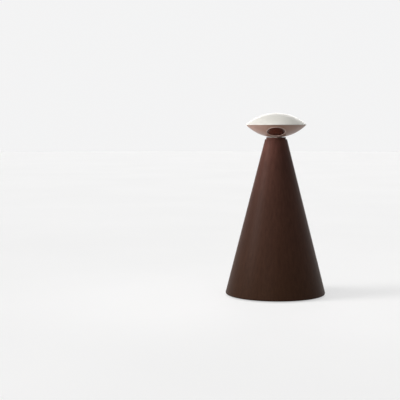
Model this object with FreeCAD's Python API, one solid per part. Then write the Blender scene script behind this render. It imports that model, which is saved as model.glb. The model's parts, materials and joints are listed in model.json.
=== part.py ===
import FreeCAD, Part
import math
import os

# Automatic laser toy for cats: a hollow cone stands on four feet and carries a turning, lens-shaped head.
# A laser fixed on the cone's axis shines up through the hollow head spindle onto a tilting mirror,
# and the beam leaves through the smoked window in the front (-Y) of the head.
# Millimetres. Origin: centre of the base on the floor. +Z up, front -Y, rear +Y.

V = FreeCAD.Vector
X_AXIS = V(1, 0, 0)
Y_AXIS = V(0, 1, 0)
Z_AXIS = V(0, 0, 1)

# ---- round forms are many-sided; surfaces that turn on each other are true cylinders ----
FORM_SIDES = 56             # the cone and the base plate
HEAD_SIDES = 48
TRIM_SIDES = 32             # window, bezel and collar
INNER_SIDES = 20            # the hidden inner faces of the shells
BUTTON_SIDES = 20
PART_SIDES = 16             # small round parts
SCREW_SIDES = 8             # screw shanks and their holes
SCREW_HEAD_SIDES = 12

# ---- tower ----
RIM_Z = 1.2                 # the shell's lower edge stands this far off the floor
RIM_R = 57.5                # the cone's outer radius there
CONE_SLOPE = 0.2535         # radius lost per millimetre of height
CONE_ANGLE = math.degrees(math.atan(CONE_SLOPE))
CONE_TOP_Z = 178.5
WALL = 2.4
WALL_ACROSS = WALL / math.cos(math.radians(CONE_ANGLE))
RIM_CHAMFER = 1.6
TOP_PLATE = 2.9
REBATE_R = 54.5             # seat of the base plate in the shell's rim
COLLAR_R = 11.2
COLLAR_TOP_Z = 180.8

# ---- head ----
HEAD_R = 34.5
SEAM_Z = 194.7              # where the two shells meet
RIM_EDGE = 0.5              # height of the upper shell's sharp edge
HEAD_TOP_Z = 208.3
BOWL_SPHERE_R = 48.285
BOWL_CENTRE_Z = 228.785
HUB_Z = 181.35              # flat underside of the bowl, above the bushing
PAD_Z = 185.0               # flat inside the bowl that carries the spindle flange
PAD_R = 10.4
PEG_CIRCLE_R = 26.0
PEG_ANGLES = (20, 90, 160)
PEG_R = 1.3                 # half the side of the square pegs
PEG_END_Z = 192.4
DOME_FLAT_R = 3.5
DOME_RADII = (12.5, 21.0, 28.6)
BOWL_RADII = (18.0, 26.4)
# inner faces, as (radius, height)
DOME_INSIDE = [(32.4, SEAM_Z - 0.1), (20.0, 201.9), (6.0, 205.6)]
BOWL_INSIDE = [(PAD_R, PAD_Z), (22.0, 188.2), (31.6, SEAM_Z), (31.6, SEAM_Z + 1)]
SOCKET_ROOM = [(PAD_R, 184.8), (22.0, 187.3), (31.0, 193.0), (31.0, SEAM_Z)]
SOCKET_WALL = 1.2
SOCKET_FOOT_Z = 188.0

# ---- window, seen along the line from the bowl's centre of curvature ----
WINDOW_TILT = 29.0          # angle of the window's normal from straight down
LENS_R = 9.9
LENS_EDGE_W = -1.1          # the lens edge, measured outward from the plane that touches the bowl
LENS_CROWN_W = 0.7
LENS_BACK_W = -1.9
LENS_RADII = (3.0, 7.2)
BEZEL_R = 10.5
BEZEL_W = (-2.1, -0.75)

# ---- spindle, bushing and gears on the axis ----
SPINDLE_R = 5.2
SPINDLE_BORE_R = 3.7
SPINDLE_Z = (133.0, 186.6)
FLANGE_R = 9.6
RUN_GAP = 0.05              # radial clearance of every turning fit
BUSH_R = 6.6
BUSH_Z0 = 170.0
BUSH_PROUD = 0.5
CLIP_Z = (168.6, 169.6)
CLIP_R = 7.4

# ---- gear train: three reductions, each with a profile-shifted pinion ----
MODULE = 0.6
PRESSURE_ANGLE = math.radians(20)
PINION_TEETH = 10
WHEEL_TEETH = 26
HEAD_TEETH = 32
PROFILE_SHIFT = 0.4         # of the module, plus on pinions and minus on wheels
FLANK_PLAY = 0.03           # taken off each flank
STEP_DISTANCE = MODULE * (PINION_TEETH + WHEEL_TEETH) / 2
HEAD_DISTANCE = MODULE * (PINION_TEETH + HEAD_TEETH) / 2
IDLER1_DISTANCE = 14.0      # from the tower's axis
MOTOR_DISTANCE = 14.5
IDLER1_ANGLE = 270.0
AXLE_R = 0.75
HUB_R = 1.6
WHEEL_WINDOWS = 3
WINDOW_IN_R = 3.4
WINDOW_OUT_R = 5.7
WHEEL1_Z = (125.0, 127.0)
WHEEL2_Z = (129.2, 131.2)
HEAD_GEAR_Z = (133.4, 136.6)
MOTOR_PINION_Z = (124.0, 128.2)
IDLER_Z = (123.3, 138.7)
PINION1_TOP_Z = 132.0
PINION2_TOP_Z = 137.6
HEAD_HUB_R = 7.4
HEAD_HUB_Z = 138.8

# ---- gear frame ----
LOWER_PLATE_Z = (121.0, 123.0)
LOWER_PLATE_R = 22.6
UPPER_PLATE_Z = (139.0, 141.0)
UPPER_PLATE_R = 17.2
PILLAR_HALF = 1.8           # half the side of the square pillars
PILLAR_CIRCLE_R = 14.0
PILLAR_ANGLES = (25, 90, 155)
PILLAR_TENON = 1.1
POST_ANGLES = (0, 90, 180)
POST_CIRCLE_R = 19.6
POST_HALF = 2.5             # half the width of the shell's square posts
POST_TOP_Z = 145.0

# ---- motor and laser ----
MOTOR_R = 7.75
MOTOR_BOSS_R = 3.0
MOTOR_Z = (101.0, 121.0)
END_CAP_Z = 98.6
TERMINAL_X = 3.4
TERMINAL_LENGTH = 3.4
SHAFT_R = 0.75
TUBE_R = 3.4
TUBE_BORE_R = 2.4
TUBE_TOP_Z = 189.0
TUBE_FLANGE_R = 6.4
SOCKET_R = 4.6
SOCKET_Z = (104.0, 119.5)
BARREL_R = 3.0
BARREL_Z = (102.0, 115.0)
DRIVER_BOARD_Z = 92.0
CAM_R = 6.4
CAM_TOP_Z = 191.2
CAM_LOBES = 3
CAM_DIP = 0.9

# ---- mirror ----
PIVOT_Z = 200.0
BEAM_DOWN = 27.0            # the beam leaves this many degrees below horizontal
MIRROR_TILT = (90.0 - BEAM_DOWN) / 2
MIRROR_HALF_X = 5.0
MIRROR_HALF_Y = 5.5
PIN_R = 0.8
CHEEK_X = (8.4, 10.0)
BRACKET_Z = (186.6, 188.2)
BRACKET_R = 10.4
BRACKET_HOLE_R = 7.2        # clear of the face cam, which stands still
CHEEK_HALF_Y = (2.6, 2.0, 1.2)
CARRIER_BARREL_R = 1.4
CARRIER_BARREL_HALF = 7.8
PLATE_W = (0.4, 1.4)        # the carrier's plate, measured from the pivot towards the beam
GLASS_THICK = 0.8
GLASS_EDGE = 0.5
# side outlines, as (y, z)
ARM_OUTLINE = [(3.4, 199.0), (4.6, 199.0), (5.9, 196.6), (5.9, 192.6), (5.3, 192.0), (4.9, 192.0),
               (4.5, 192.6), (4.5, 196.6)]
ARM_HALF = 0.9
SPRING_OUTLINE = [(8.6, 188.2), (9.4, 188.2), (9.4, 199.5), (6.5, 203.3), (2.0, 203.9), (2.0, 203.6),
                  (6.2, 203.0), (8.6, 199.2)]
SPRING_HALF = 1.2

# ---- base ----
PLATE_Z = (1.4, 3.8)
PLATE_R = 54.4
LEDGE_Z = 3.6               # the battery door's recess ends here
FRAME_TOP_Z = 5.4
BAY_HALF = (28.5, 29.75)
BAY_WALL = 1.6
BAY_ROOF_Z = (21.5, 23.1)
DOOR_HALF = (31.0, 33.0)
DOOR_GAP = 0.2
DOOR_CORNER = 3.0
TONGUE_Y = 35.5
TONGUE_HALF = 4.6
TONGUE_END = 39.6
DOOR_TAB_X = 18.0
DOOR_TAB_HALF = 3.0
DOOR_TAB_Y = (-35.6, -32.6, -31.4)  # the hook's tip, the stem's front and the stem's rear
DOOR_TAB_TOP_Z = 5.1
TAB_ROOM = 0.4              # each side of a tab in its slot
DOOR_RIB_HALF = (24.0, 0.6)
DOOR_RIB_TOP_Z = 5.0
DOOR_GRIPS_Y = (20.0, 22.4, 24.8)
DOOR_GRIP = (9.0, 0.9, 0.5)  # half length, width and depth of a groove for the fingertip
DOOR_BOSS_HALF = 3.2
DOOR_BOSS_TOP_Z = 10.0
BOSS_ANGLES = (60, 180, 300)
BOSS_CIRCLE_R = 48.5
BOSS_HALF = 3.6
SCREW_SEAT_Z = 2.6          # the base screws' heads sit up to this height in the plate
BOSS_TOP_Z = 20.0
FOOT_ANGLES = (30, 150, 210, 330)
FOOT_CIRCLE_R = 47.0
FOOT_R = 5.0

# ---- cells and electronics ----
CELL_R = 7.25
CELL_BODY = 49.2
CELL_LENGTH = 50.5
CELL_PITCH = 14.6
CELL_Z = 12.6
NUB_R = 2.7
TAIL_Y = (-17.5, 17.5)      # the terminals' tails pass through the bay's wall here
TAIL_REACH = 0.8
BOARD_Z = (25.1, 26.7)
BOARD_HALF = (24.0, 19.0)
RAIL_Y = 15.0               # two rails on the bay roof carry the board

# ---- controls on the rear wall; w is measured outward along the wall's normal ----
CONTROL_Z = 34.0            # height of the power button's middle
POWER_R = 5.5
MODE_R = 4.0
MODE_UP = 16.0              # distances up the wall from the power button
LED_UP = 27.0
BUTTON_PROUD = 1.0
BUTTON_FLANGE_W = (-4.6, -3.6)
STEM_HALF = 1.5             # half the side of the square stem
STEM_END_W = -6.4
SWITCH_W = (-8.6, -5.6)
CONTROL_BOARD_W = (-10.2, -8.6)
CONTROL_BOARD_UP = (-14.0, 33.0)
CONTROL_BOARD_HALF = 9.0
UPRIGHT_UP = 12.0           # the base plate's grooved uprights hold the board to this distance
PIPE_R = 1.6


def turned(radius, z0, z1, x=0.0, y=0.0):
    """True cylinder, for a surface that something turns on."""
    return Part.makeCylinder(radius, z1 - z0, V(x, y, z0))


def cylinder(radius, z0, z1, x=0.0, y=0.0, sides=PART_SIDES):
    """Upright round bar with many sides; its corners are on the radius."""
    corners = [V(x, y, z0) + V(*polar(radius, 360.0 * i / sides), 0) for i in range(sides)]
    return extruded(corners, V(0, 0, z1 - z0))


def grip_hole(radius, z0, z1, x=0.0, y=0.0, sides=SCREW_SIDES):
    """Many-sided hole whose flats touch a round bar of this radius."""
    return cylinder(radius / math.cos(math.pi / sides), z0, z1, x, y, sides)


def ring(outer, inner, z0, z1, outer_sides=PART_SIDES, inner_sides=PART_SIDES):
    """Tube round the axis between two heights."""
    bore = cylinder(inner, z0 - 1, z1 + 1, sides=inner_sides)
    return cylinder(outer, z0, z1, sides=outer_sides).cut(bore)


def block(x0, x1, y0, y1, z0, z1):
    """Box between two corners."""
    return Part.makeBox(x1 - x0, y1 - y0, z1 - z0, V(x0, y0, z0))


def polar(radius, degrees):
    """Plan position at a radius and an angle from +X."""
    return radius * math.cos(math.radians(degrees)), radius * math.sin(math.radians(degrees))


def flat(points):
    """Flat face inside a closed outline of 3-D points."""
    return Part.Face(Part.makePolygon(points + points[:1]))


def extruded(points, direction):
    """Closed outline of 3-D points, pushed along a direction."""
    return flat(points).extrude(direction)


def rounded_block(half_x, half_y, corner, z0, z1):
    """Box centred on the axis with round upright corners."""
    body = block(-half_x, half_x, -half_y, half_y, z0, z1)
    upright = [e for e in body.Edges if abs(e.tangentAt(e.FirstParameter).z) > 0.9]
    return body.makeFillet(corner, upright)


def faceted(points, sides=PART_SIDES):
    """Solid between regular outlines of (corner radius, height), joined by flat faces."""
    rings = [[V(*polar(r, 360.0 * i / sides), z) for i in range(sides)] for r, z in points]
    faces = [flat(rings[0]), flat(rings[-1])]
    for lower, upper in zip(rings, rings[1:]):
        for i in range(sides):
            j = (i + 1) % sides
            faces.append(flat([lower[i], lower[j], upper[j], upper[i]]))
    return Part.Solid(Part.Shell(faces))


def joined(shapes):
    """One solid from touching shapes."""
    body = shapes[0]
    for shape in shapes[1:]:
        body = body.fuse(shape)
    return body.removeSplitter()


def cut_all(body, tools):
    for tool in tools:
        body = body.cut(tool)
    return body


def save(name, shape):
    """Write one node. A group of separate pieces is saved as a compound of solids."""
    solids = shape.Solids
    whole = solids[0] if len(solids) == 1 else Part.makeCompound(solids)
    whole.exportStep("parts/%s.step" % name)
    print("%-26s solids %2d  volume %9.1f  valid %s" % (name, len(solids), whole.Volume, whole.isValid()))


def cone_radius(z):
    """Outer radius of the tower at a height."""
    return RIM_R - CONE_SLOPE * (z - RIM_Z)


def inner_radius(z):
    return cone_radius(z) - WALL_ACROSS


# ---- positions that follow from the driving dimensions ----
def angle_between(a, b, opposite):
    """Angle at the tower's axis of a triangle with sides a and b and the side opposite it."""
    return math.degrees(math.acos((a * a + b * b - opposite * opposite) / (2 * a * b)))


IDLER2_ANGLE = IDLER1_ANGLE + angle_between(IDLER1_DISTANCE, HEAD_DISTANCE, STEP_DISTANCE)
MOTOR_ANGLE = IDLER1_ANGLE - angle_between(IDLER1_DISTANCE, MOTOR_DISTANCE, STEP_DISTANCE)
IDLER1 = polar(IDLER1_DISTANCE, IDLER1_ANGLE)
IDLER2 = polar(HEAD_DISTANCE, IDLER2_ANGLE)
MOTOR = polar(MOTOR_DISTANCE, MOTOR_ANGLE)


def bearing(start, end):
    """Direction from one plan position to another, in radians."""
    return math.atan2(end[1] - start[1], end[0] - start[0])


def on_rear_wall(shape, up=0.0):
    """Carry a shape built about +Z (outward) onto the rear wall, this far up the wall."""
    foot = V(0, cone_radius(CONTROL_Z), CONTROL_Z)
    lift = V(0, -math.sin(math.radians(CONE_ANGLE)), math.cos(math.radians(CONE_ANGLE))) * up
    moved = shape.copy()
    moved.Placement = FreeCAD.Placement(foot + lift, FreeCAD.Rotation(X_AXIS, CONE_ANGLE - 90))
    return moved


def on_window(shape):
    """Carry a shape built about +Z (outward) onto the window in the bowl's front."""
    tilt = math.radians(WINDOW_TILT)
    centre = V(0, -BOWL_SPHERE_R * math.sin(tilt), BOWL_CENTRE_Z - BOWL_SPHERE_R * math.cos(tilt))
    moved = shape.copy()
    moved.Placement = FreeCAD.Placement(centre, FreeCAD.Rotation(X_AXIS, 180 - WINDOW_TILT))
    return moved


def on_mirror(shape):
    """Carry a shape built about +Z (towards the beam) onto the tilted mirror's pivot."""
    moved = shape.copy()
    moved.Placement = FreeCAD.Placement(V(0, 0, PIVOT_Z), FreeCAD.Rotation(X_AXIS, 180 - MIRROR_TILT))
    return moved


def gear_outline(teeth, shift, phase, x, y, z):
    """Teeth with straight flanks inside their involutes; phase is the direction of one tooth's middle."""
    pitch_r = MODULE * teeth / 2
    base_r = pitch_r * math.cos(PRESSURE_ANGLE)
    tip_r = pitch_r + MODULE * (1 + shift)
    root_r = pitch_r - MODULE * (1.25 - shift)
    pitch_half = (math.pi / 2 + 2 * shift * math.tan(PRESSURE_ANGLE)) / teeth - FLANK_PLAY / pitch_r

    def involute(angle):
        return math.tan(angle) - angle

    def half_angle(r):
        pressure = math.acos(min(1.0, base_r / r))
        return pitch_half + involute(PRESSURE_ANGLE) - involute(pressure)

    low_r = max(base_r, root_r)
    flank = [(root_r, half_angle(low_r) + (0.02 if base_r < root_r else 0.0))]
    flank.append((tip_r, half_angle(tip_r)))
    points = []
    for tooth in range(teeth):
        middle = phase + 2 * math.pi * tooth / teeth
        for r, half in flank:
            points.append(V(x + r * math.cos(middle - half), y + r * math.sin(middle - half), z))
        for r, half in reversed(flank):
            points.append(V(x + r * math.cos(middle + half), y + r * math.sin(middle + half), z))
    return points


def gear(teeth, shift, phase, place, z_range):
    points = gear_outline(teeth, shift, phase, place[0], place[1], z_range[0])
    return extruded(points, V(0, 0, z_range[1] - z_range[0]))


def screw(x, y, z_head, head_h, z_tip, head_r=2.3, shank_r=1.1):
    """Plain screw driven upward: its head's lower face is at z_head."""
    head = cylinder(head_r, z_head, z_head + head_h, x, y, SCREW_HEAD_SIDES)
    return joined([head, cylinder(shank_r, z_head + head_h, z_tip, x, y, SCREW_SIDES)])


def screw_hole(radius, z0, z1, place):
    return cylinder(radius, z0, z1, *place, SCREW_SIDES)


# ================= tower =================
def wall_block(angle, half_width, inner_r, z0, z1):
    """Square post from the cone's wall inward to a radius, at an angle round the axis."""
    body = block(inner_r, RIM_R, -half_width, half_width, z0, z1)
    body.rotate(V(0, 0, 0), Z_AXIS, angle)
    return body


def tower_shell():
    """Hollow cone with a chamfered rim, a bored top, and posts inside for the gear frame and base plate."""
    top_r = cone_radius(CONE_TOP_Z)
    edge_z = RIM_Z + RIM_CHAMFER
    outline = [(RIM_R - RIM_CHAMFER, RIM_Z), (cone_radius(edge_z), edge_z), (top_r, CONE_TOP_Z)]
    outside = faceted(outline, FORM_SIDES)
    roof_z = CONE_TOP_Z - TOP_PLATE
    core = faceted([(inner_radius(RIM_Z - 1), RIM_Z - 1), (inner_radius(roof_z), roof_z)], INNER_SIDES)
    posts = [wall_block(a, POST_HALF, POST_CIRCLE_R - POST_HALF, LOWER_PLATE_Z[1], POST_TOP_Z)
             for a in POST_ANGLES]
    posts += [wall_block(a, BOSS_HALF, BOSS_CIRCLE_R - BOSS_HALF, PLATE_Z[1], BOSS_TOP_Z)
              for a in BOSS_ANGLES]
    body = joined([outside.cut(core)] + [p.common(outside) for p in posts])
    holes = [cylinder(BUSH_R, roof_z - 1, CONE_TOP_Z + 1)]
    holes.append(cylinder(REBATE_R, RIM_Z - 1, PLATE_Z[1], sides=FORM_SIDES))
    holes += [screw_hole(1.1, LOWER_PLATE_Z[1] - 1, 131.0, polar(POST_CIRCLE_R, a)) for a in POST_ANGLES]
    holes += [screw_hole(1.1, PLATE_Z[1] - 1, 13.0, polar(BOSS_CIRCLE_R, a)) for a in BOSS_ANGLES]
    for radius, up in ((POWER_R + 0.15, 0.0), (MODE_R + 0.15, MODE_UP), (PIPE_R, LED_UP)):
        holes.append(on_rear_wall(cylinder(radius, -5.0, 3.0, sides=BUTTON_SIDES), up))
    return cut_all(body, holes)


def neck_collar():
    """Dark ring on the cone's top, round the bushing."""
    return ring(COLLAR_R, BUSH_R, CONE_TOP_Z, COLLAR_TOP_Z, TRIM_SIDES)


def neck_bushing():
    """Plain bearing that the spindle turns in; the head's hub runs on its top edge."""
    body = cylinder(BUSH_R, BUSH_Z0, COLLAR_TOP_Z + BUSH_PROUD)
    return body.cut(turned(SPINDLE_R + RUN_GAP, BUSH_Z0 - 1, 190))


# ================= base =================
def control_upright(side):
    """Grooved post that holds one edge of the control board, leaning with the rear wall."""
    x = side * (CONTROL_BOARD_HALF + 0.5)
    post = on_rear_wall(block(x - 1.5, x + 1.5, -UPRIGHT_UP, 60.0, -11.7, -7.1))
    return post.common(block(-20, 20, 0, PLATE_R, PLATE_Z[0], 80)).cut(control_board())


def base_plate():
    """Round bottom with the battery bay, the door's recess and the seats of both boards."""
    rim = 3.0
    frame = block(-DOOR_HALF[0] - rim, DOOR_HALF[0] + rim, -DOOR_HALF[1] - rim, DOOR_HALF[1] + rim,
                  PLATE_Z[0], FRAME_TOP_Z)
    tongue = block(-TONGUE_HALF - rim, TONGUE_HALF + rim, 0, TONGUE_END + rim, PLATE_Z[0], FRAME_TOP_Z)
    bay_x = BAY_HALF[0] + BAY_WALL
    bay_y = BAY_HALF[1] + BAY_WALL
    bay = block(-bay_x, bay_x, -bay_y, bay_y, PLATE_Z[0], BAY_ROOF_Z[1])
    solids = [cylinder(PLATE_R, *PLATE_Z, sides=FORM_SIDES), frame, tongue, bay]
    solids.append(block(-DOOR_BOSS_HALF, DOOR_BOSS_HALF, TONGUE_Y - DOOR_BOSS_HALF, TONGUE_Y + DOOR_BOSS_HALF,
                        PLATE_Z[0], DOOR_BOSS_TOP_Z))
    solids += [block(-BOARD_HALF[0], BOARD_HALF[0], y - 1, y + 1, BAY_ROOF_Z[0], BOARD_Z[0])
               for y in (-RAIL_Y, RAIL_Y)]
    for side in (-1, 1):
        x0, x1 = sorted((side * BOARD_HALF[0], side * (BOARD_HALF[0] + 1.2)))
        solids.append(block(x0, x1, -3, 3, BAY_ROOF_Z[0], BOARD_Z[1] + 1.2))
        solids.append(block(min(x0, x0 - side), max(x1, x1 - side), -3, 3, BOARD_Z[1], BOARD_Z[1] + 1.2))
        solids.append(control_upright(side))
    body = joined(solids)
    recess_x = DOOR_HALF[0] + DOOR_GAP
    recess_y = DOOR_HALF[1] + DOOR_GAP
    tongue_x = TONGUE_HALF + DOOR_GAP
    cuts = [rounded_block(recess_x, recess_y, DOOR_CORNER, PLATE_Z[0] - 1, LEDGE_Z)]
    cuts.append(block(-tongue_x, tongue_x, 0, TONGUE_END + DOOR_GAP, 0, LEDGE_Z))
    cuts += [terminal_tail(y) for y in TAIL_Y]
    cuts.append(block(-BAY_HALF[0], BAY_HALF[0], -BAY_HALF[1], BAY_HALF[1], PLATE_Z[0] - 1, BAY_ROOF_Z[0]))
    cuts.append(screw_hole(1.8, PLATE_Z[0], 9.0, (0, TONGUE_Y)))
    for x in (-DOOR_TAB_X, DOOR_TAB_X):
        slot = DOOR_TAB_HALF + TAB_ROOM
        cuts.append(block(x - slot, x + slot, -37.0, -BAY_HALF[1] + 1, PLATE_Z[1], 9.0))
        cuts.append(block(x - slot, x + slot, -DOOR_HALF[1] - DOOR_GAP, -BAY_HALF[1] + 1, LEDGE_Z - 0.5, 9.0))
    for a in BOSS_ANGLES:
        place = polar(BOSS_CIRCLE_R, a)
        cuts.append(cylinder(2.6, PLATE_Z[0] - 1, SCREW_SEAT_Z, *place, SCREW_HEAD_SIDES))
        cuts.append(screw_hole(1.1, SCREW_SEAT_Z - 1, PLATE_Z[1] + 1, place))
    return cut_all(body, cuts)


def foot(angle):
    """Rubber pad with a chamfered lower edge."""
    pad = faceted([(FOOT_R - 0.4, 0), (FOOT_R, 0.4), (FOOT_R, PLATE_Z[0])])
    pad.translate(V(*polar(FOOT_CIRCLE_R, angle), 0))
    return pad


def battery_door():
    """Flat door with a screw tongue at the rear, two hook tabs at the front and stiffening ribs."""
    top = LEDGE_Z - 0.2
    plate = rounded_block(DOOR_HALF[0], DOOR_HALF[1], DOOR_CORNER, PLATE_Z[0], top)
    pieces = [plate, block(-TONGUE_HALF, TONGUE_HALF, 20, TONGUE_END, PLATE_Z[0], top)]
    tip, stem_front, stem_rear = DOOR_TAB_Y
    for x in (-DOOR_TAB_X, DOOR_TAB_X):
        x0, x1 = x - DOOR_TAB_HALF, x + DOOR_TAB_HALF
        pieces.append(block(x0, x1, stem_front, stem_rear, top - 0.5, DOOR_TAB_TOP_Z))
        pieces.append(block(x0, x1, tip, stem_rear, PLATE_Z[1] + 0.1, DOOR_TAB_TOP_Z))
    rib_x, rib_y = DOOR_RIB_HALF
    for y in (-CELL_PITCH, 0.0, CELL_PITCH):
        pieces.append(block(-rib_x, rib_x, y - rib_y, y + rib_y, top - 0.5, DOOR_RIB_TOP_Z))
    body = joined(pieces)
    half, width, depth = DOOR_GRIP
    grip = [block(-half, half, y, y + width, PLATE_Z[0] - 1, PLATE_Z[0] + depth) for y in DOOR_GRIPS_Y]
    holes = [cylinder(2.9, PLATE_Z[0] - 1, PLATE_Z[0] + 1.1, 0, TONGUE_Y, SCREW_HEAD_SIDES)]
    holes.append(screw_hole(1.2, 0, 5, (0, TONGUE_Y)))
    return cut_all(body, grip + holes)


def door_screw():
    return screw(0, TONGUE_Y, PLATE_Z[0] + 0.1, 1.0, 8.5, 2.7, 1.2)


def base_screws():
    places = [polar(BOSS_CIRCLE_R, a) for a in BOSS_ANGLES]
    return Part.makeCompound([screw(x, y, SCREW_SEAT_Z - 1.1, 1.1, 12.0) for x, y in places])


def cell_middle(index):
    return (index - 1.5) * CELL_PITCH


def battery_cell(index):
    """AA cell lying along X; neighbours point opposite ways."""
    way = 1 if index % 2 == 0 else -1
    start = -way * CELL_LENGTH / 2
    y = cell_middle(index)
    body = joined([cylinder(CELL_R, 0, CELL_BODY), cylinder(NUB_R, CELL_BODY - 1, CELL_LENGTH)])
    body.Placement = FreeCAD.Placement(V(start, y, CELL_Z), FreeCAD.Rotation(Y_AXIS, 90 * way))
    return body


def terminal_tail(y):
    """Tab of a terminal that passes through the bay's -X wall to its lead."""
    out_x = -BAY_HALF[0] - BAY_WALL
    return block(out_x - TAIL_REACH, -BAY_HALF[0], y - 0.6, y + 0.6, 11.7, 12.3)


def contact(side, cells):
    """Stamped strip at one end of the bay; a bent leaf presses on each cell it serves."""
    wall = BAY_HALF[0]
    strip = 0.5
    low = cell_middle(min(cells)) - 5.0
    high = cell_middle(max(cells)) + 5.0
    x0, x1 = sorted((side * wall, side * (wall - strip)))
    pieces = [block(x0, x1, low, high, 6.5, 19.0)]
    reach = CELL_LENGTH / 2
    for index in cells:
        y = cell_middle(index)
        leaf = [(wall - 0.3, 17.0), (reach, 13.6), (reach, 11.6), (wall - 0.8, 8.6), (wall - 0.3, 8.6),
                (reach + 0.5, 11.4), (reach + 0.5, 13.4), (wall - 0.3, 16.0)]
        pieces.append(extruded([V(side * x, y - 2.5, z) for x, z in leaf], V(0, 5.0, 0)))
    return joined(pieces)


# ================= electronics =================
def main_board():
    """Board on the battery bay's roof, under two clips."""
    return block(-BOARD_HALF[0], BOARD_HALF[0], -BOARD_HALF[1], BOARD_HALF[1], *BOARD_Z)


def controller_chip():
    """Square chip with stub legs on two sides."""
    z = BOARD_Z[1]
    body = block(-5, 5, -9, -1, z + 0.3, z + 2.0)
    legs = [block(x - 0.4, x + 0.4, -10.4, 0.4, z, z + 0.7) for x in (-3.75, -1.25, 1.25, 3.75)]
    return joined([body] + legs)


def capacitor():
    return cylinder(3.15, BOARD_Z[1], BOARD_Z[1] + 9.0, 11.0, 3.0)


def connector(x, y):
    """Two-way plug housing on the board."""
    z = BOARD_Z[1]
    return block(x - 3.2, x + 3.2, y - 2.2, y + 2.2, z, z + 5.0)


BATTERY_PLUG_X = -17.5
MOTOR_PLUG_Y = 3.0
LASER_PLUG_Y = 8.0
CONTROL_PLUG_Y = 15.0


def board_connectors():
    places = [(BATTERY_PLUG_X, y * 0.95) for y in TAIL_Y]
    places += [(MOTOR[0], MOTOR_PLUG_Y), (0.0, LASER_PLUG_Y), (0.0, CONTROL_PLUG_Y)]
    return Part.makeCompound([connector(x, y) for x, y in places])


def ribbon(points, wide, half, thickness=0.9):
    """Flat lead along straight runs; wide is the direction of its width and half is half that width."""
    left = []
    right = []
    for i, point in enumerate(points):
        before = (point - points[i - 1]).normalize() if i else None
        after = (points[i + 1] - point).normalize() if i + 1 < len(points) else None
        side = wide.cross((before or after) + (after or before)).normalize()
        turn = before.getAngle(after) if before and after else 0.0
        reach = thickness / 2 / math.cos(turn / 2)
        left.append(point + side * reach)
        right.append(point - side * reach)
    outline = [p - wide * half for p in left + right[::-1]]
    return extruded(outline, wide * 2 * half)


def battery_lead(y):
    """From a terminal's tail up to its plug on the main board."""
    top = BOARD_Z[1] + 2.5
    wall_x = -BAY_HALF[0] - BAY_WALL - TAIL_REACH
    return ribbon([V(BATTERY_PLUG_X - 3.2, y, top), V(wall_x + 0.6, y, top), V(wall_x - 0.45, y, top - 2),
                   V(wall_x - 0.45, y, 11.0)], Y_AXIS, 0.8)


def motor_leads():
    """Two cores side by side, up to the motor's terminal blades."""
    x = MOTOR[0]
    top = BOARD_Z[1] + 5.0
    end_z = END_CAP_Z - TERMINAL_LENGTH + 1.0
    return ribbon([V(x, MOTOR_PLUG_Y, top), V(x, MOTOR_PLUG_Y, top + 8), V(x, MOTOR[1] + 6, 60.0),
                   V(x, MOTOR[1] + 1.0, 84.0), V(x, MOTOR[1], 90.0), V(x, MOTOR[1], end_z)],
                  X_AXIS, TERMINAL_X - 0.25)


def laser_leads():
    """From the main board up to the laser's driver board."""
    top = BOARD_Z[1] + 5.0
    return ribbon([V(0, LASER_PLUG_Y, top), V(0, LASER_PLUG_Y, top + 10), V(0, 3.0, 62.0), V(0, 0, 80.0),
                   V(0, 0, DRIVER_BOARD_Z)], X_AXIS, 1.2)


def control_leads():
    """From the main board to the control board behind the rear wall."""
    top = BOARD_Z[1] + 5.0
    angle = math.radians(CONE_ANGLE)
    normal = V(0, math.cos(angle), math.sin(angle))
    end = V(0, cone_radius(CONTROL_Z), CONTROL_Z) + normal * CONTROL_BOARD_W[0]
    end += V(0, -math.sin(angle), math.cos(angle)) * 8.0
    y = CONTROL_PLUG_Y
    return ribbon([V(0, y, top), V(0, y, top + 3), V(0, y + 8, end.z - 1.5), end - normal * 6, end],
                  X_AXIS, 1.8)


# ================= controls on the rear wall =================
def control_board():
    low, high = CONTROL_BOARD_UP
    return on_rear_wall(block(-CONTROL_BOARD_HALF, CONTROL_BOARD_HALF, -high, -low, *CONTROL_BOARD_W))


def push_button(radius, up):
    """Chamfered round cap, the flange that keeps it behind the wall, and the stem that works the switch."""
    flange_w, flange_top = BUTTON_FLANGE_W
    chamfer = 0.5
    cap = faceted([(radius, flange_w), (radius, BUTTON_PROUD - chamfer), (radius - chamfer, BUTTON_PROUD)],
                  BUTTON_SIDES)
    flange = cylinder(radius + 1.4, flange_w, flange_top, sides=BUTTON_SIDES)
    stem = block(-STEM_HALF, STEM_HALF, -STEM_HALF, STEM_HALF, STEM_END_W, flange_w)
    return on_rear_wall(joined([cap, flange, stem]), up)


def switch(up):
    """Square switch body with the bore that the button's stem slides in."""
    bore = STEM_HALF + RUN_GAP
    body = block(-3, 3, -3, 3, *SWITCH_W)
    return on_rear_wall(body.cut(block(-bore, bore, -bore, bore, SWITCH_W[0] + 0.6, 0)), up)


def light_pipe():
    return on_rear_wall(cylinder(PIPE_R, -4.8, 0.4, sides=BUTTON_SIDES), LED_UP)


def status_led():
    return on_rear_wall(cylinder(1.45, CONTROL_BOARD_W[1], -5.2), LED_UP)


# ================= gear frame, motor and gears =================
def pillar_block(angle, half, z0, z1):
    x, y = polar(PILLAR_CIRCLE_R, angle)
    return block(x - half, x + half, y - half, y + half, z0, z1)


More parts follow.
